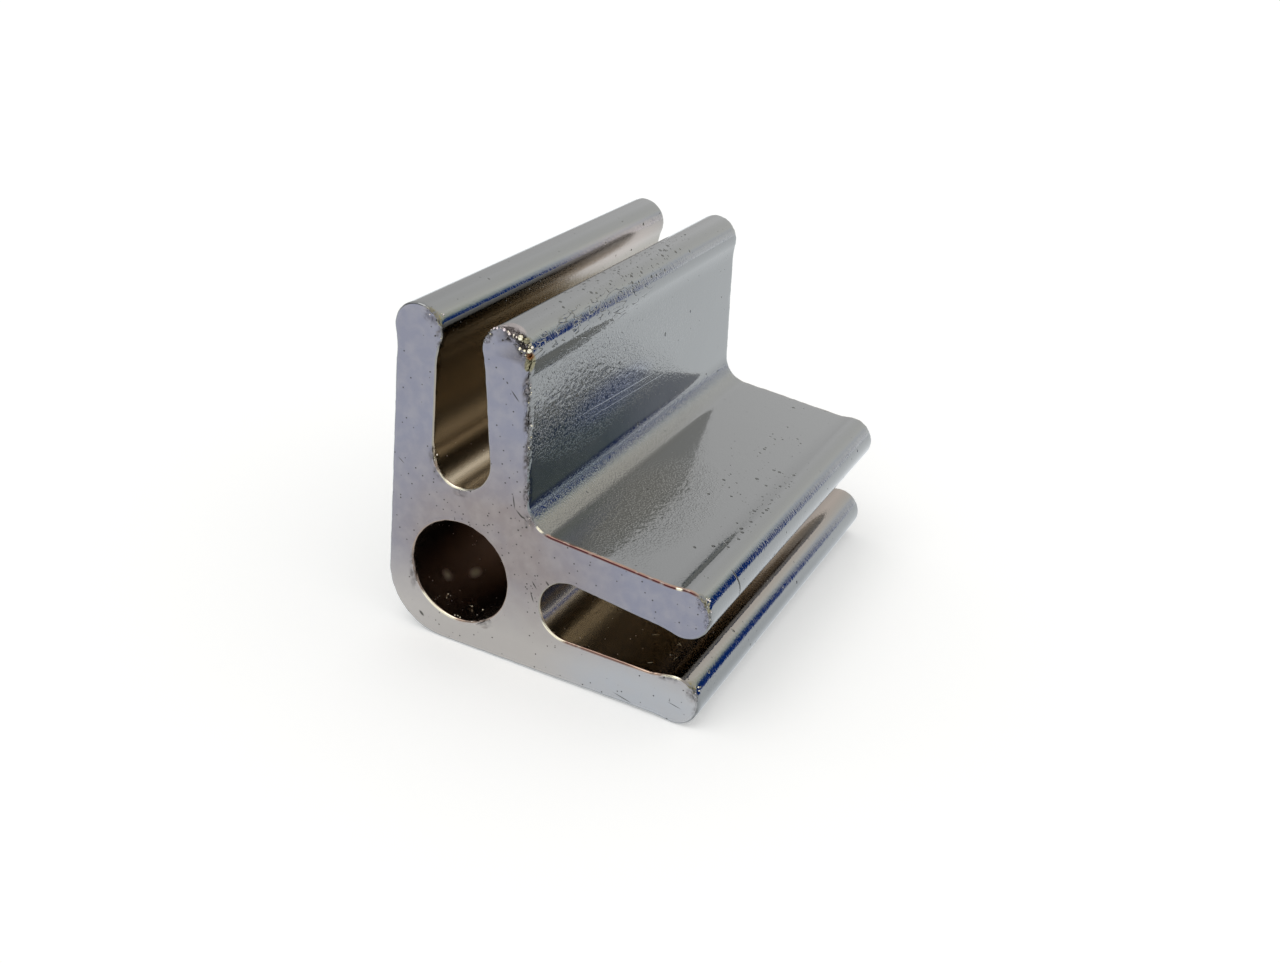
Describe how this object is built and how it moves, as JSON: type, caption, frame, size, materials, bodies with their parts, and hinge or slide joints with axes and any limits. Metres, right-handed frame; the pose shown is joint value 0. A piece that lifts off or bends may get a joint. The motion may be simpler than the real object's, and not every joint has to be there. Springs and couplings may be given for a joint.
{
  "type": "l-shaped glass connector",
  "caption": "L-shaped connector of constant section that holds sheets of glass at a right angle in beaded channels, with a round bore along its corner.",
  "frame": {"origin": "on the axis of the corner bore, midway between the two sawn ends", "axes": "+Y along the bore, away from the end that the picture shows; +X along the lower arm, +Z along the upright arm"},
  "size_m": [0.042, 0.0576, 0.042],
  "materials": {
    "plated_metal": "bright nickel-chrome plating over extruded aluminium, with satin sawn ends"
  },
  "bodies": {
    "root": {"connector": "plated_metal"}
  },
  "joints": []
}
